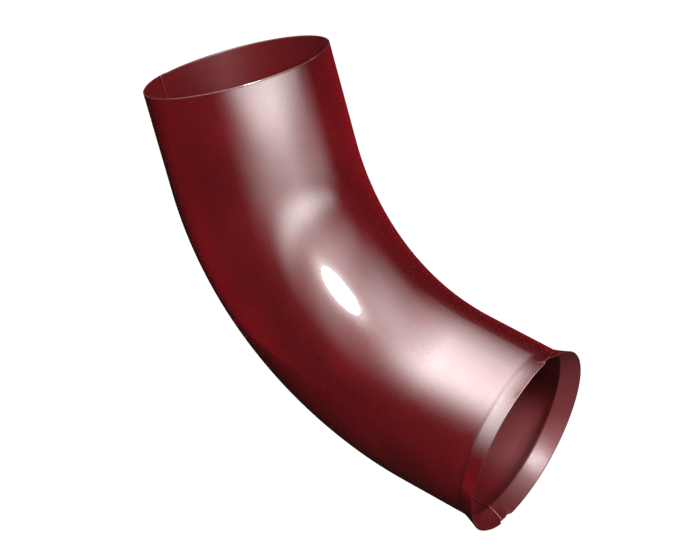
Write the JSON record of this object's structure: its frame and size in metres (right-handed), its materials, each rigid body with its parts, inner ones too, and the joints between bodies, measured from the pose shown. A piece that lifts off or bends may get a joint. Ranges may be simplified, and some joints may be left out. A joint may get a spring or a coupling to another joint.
{
  "type": "downspout elbow",
  "caption": "Round sheet-steel downspout elbow of two half-shells joined by lock seams, plain inlet end, tapered bend, flared outlet lip, dark wine red.",
  "frame": {"origin": "centre of the inlet end's rim, on the inlet's axis: the mount named inlet", "axes": "+Z runs out of the inlet along its axis, and is up as the elbow hangs on a downpipe. The pipe goes down -Z and bends towards +X, so XZ is the bend's plane. Near half-shell at -Y, far half-shell at +Y"},
  "size_m": [0.1978, 0.1034, 0.259],
  "materials": {
    "near_half_paint": "high gloss coil coating, dark wine red",
    "far_half_paint": "high gloss coil coating, dark wine red"
  },
  "bodies": {
    "root": {"near_half_shell": "near_half_paint", "far_half_shell": "far_half_paint"}
  },
  "joints": []
}
